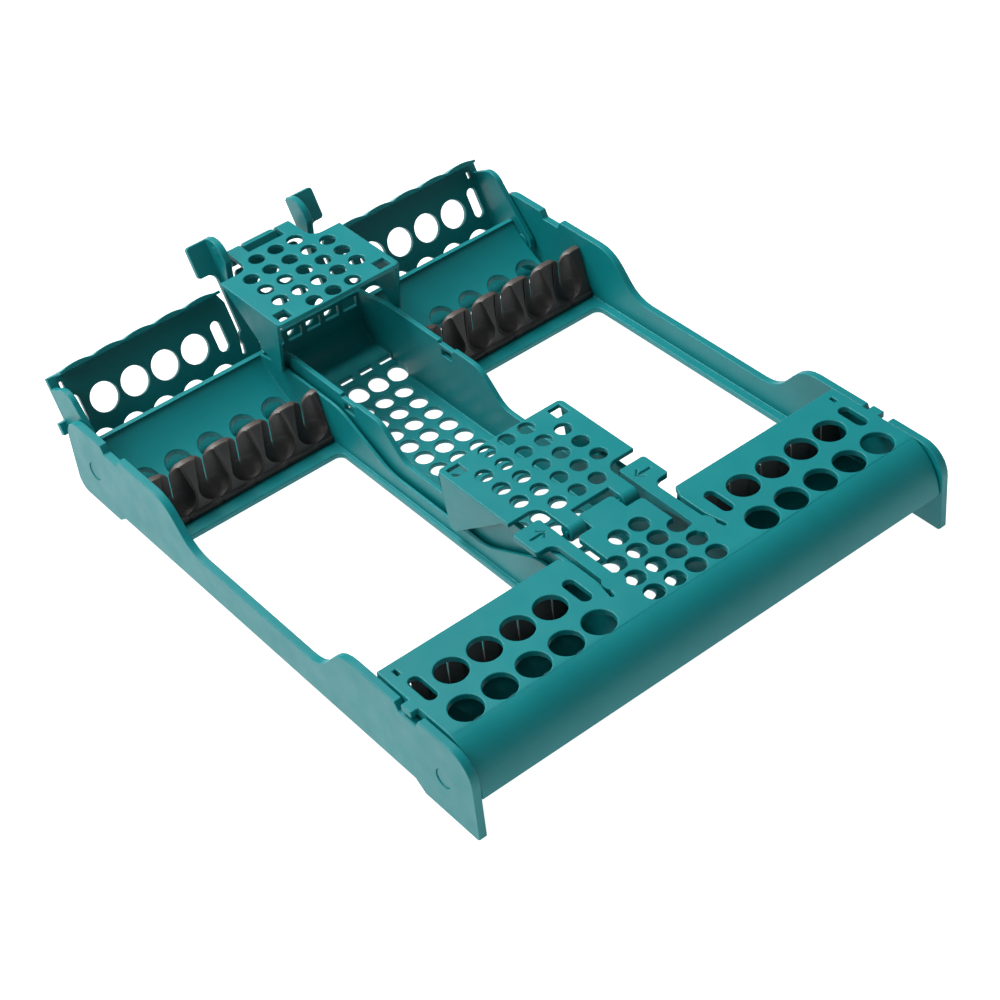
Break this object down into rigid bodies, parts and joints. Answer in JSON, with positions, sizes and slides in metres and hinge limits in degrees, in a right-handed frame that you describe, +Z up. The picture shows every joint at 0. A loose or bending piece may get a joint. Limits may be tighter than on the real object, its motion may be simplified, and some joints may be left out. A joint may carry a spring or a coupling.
{
  "type": "instrument cassette",
  "caption": "Open-topped plastic cassette that holds hand instruments in slotted silicone combs for washing and sterilising, with hinged perforated end covers and lids over a central trough.",
  "frame": {"origin": "middle of the whole part's outline, on the ground that its feet stand on, with the front cover closed and the back cover open", "axes": "+X to the right across the cassette, +Y towards the open cover, +Z up"},
  "size_m": [0.1764, 0.2256, 0.0497],
  "materials": {
    "teal_plastic": "satin, finely textured moulding",
    "silicone": "soft satin silicone"
  },
  "bodies": {
    "tray": {"tray": "teal_plastic", "front_left_comb": "silicone", "front_right_comb": "silicone", "back_left_comb": "silicone", "back_right_comb": "silicone", "front_left_cover_pin": "teal_plastic", "front_right_cover_pin": "teal_plastic", "back_left_cover_pin": "teal_plastic", "back_right_cover_pin": "teal_plastic"},
    "front_cover": {"front_cover": "teal_plastic", "front_left_lid_pin": "teal_plastic", "front_right_lid_pin": "teal_plastic"},
    "back_cover": {"back_cover": "teal_plastic", "back_left_lid_pin": "teal_plastic", "back_right_lid_pin": "teal_plastic"},
    "front_trough_lid": {"front_trough_lid": "teal_plastic"},
    "back_trough_lid": {"back_trough_lid": "teal_plastic"},
    "front_left_latch_arm": {"front_left_latch_arm": "teal_plastic"},
    "front_right_latch_arm": {"front_right_latch_arm": "teal_plastic"},
    "back_left_latch_arm": {"back_left_latch_arm": "teal_plastic"},
    "back_right_latch_arm": {"back_right_latch_arm": "teal_plastic"}
  },
  "joints": [
    {"name": "front_cover_hinge", "type": "hinge", "parent": "tray", "child": "front_cover", "pos_m": [0, -0.09926, 0.0138], "axis": [1, 0, 0], "range_deg": [0, 118]},
    {"name": "back_cover_hinge", "type": "hinge", "parent": "tray", "child": "back_cover", "pos_m": [0, 0.07674, 0.0138], "axis": [1, 0, 0], "range_deg": [0, 118]},
    {"name": "front_lid_hinge", "type": "hinge", "parent": "front_cover", "child": "front_trough_lid", "pos_m": [0, -0.06176, 0.0284], "axis": [1, 0, 0], "range_deg": [0, 118]},
    {"name": "back_lid_hinge", "type": "hinge", "parent": "back_cover", "child": "back_trough_lid", "pos_m": [0, 0.10724, 0.04006], "axis": [1, 0, 0], "range_deg": [-118, 0]},
    {"name": "front_left_arm_flex", "type": "hinge", "parent": "front_cover", "child": "front_left_latch_arm", "pos_m": [-0.0168, -0.08676, 0.0286], "axis": [0, 0, -1], "range_deg": [0, 3.6], "stiffness_Nm_per_rad": 0.6},
    {"name": "front_right_arm_flex", "type": "hinge", "parent": "front_cover", "child": "front_right_latch_arm", "pos_m": [0.0168, -0.08676, 0.0286], "axis": [0, 0, 1], "range_deg": [0, 3.6], "stiffness_Nm_per_rad": 0.6},
    {"name": "back_left_arm_flex", "type": "hinge", "parent": "back_cover", "child": "back_left_latch_arm", "pos_m": [-0.0168, 0.09568, 0.01789], "axis": [0, 0.8829, -0.4695], "range_deg": [0, 3.6], "stiffness_Nm_per_rad": 0.6},
    {"name": "back_right_arm_flex", "type": "hinge", "parent": "back_cover", "child": "back_right_latch_arm", "pos_m": [0.0168, 0.09568, 0.01789], "axis": [0, -0.8829, 0.4695], "range_deg": [0, 3.6], "stiffness_Nm_per_rad": 0.6}
  ],
  "couplings": [
    {"joint": "back_lid_hinge", "follows": "back_cover_hinge", "ratio": -1}
  ]
}
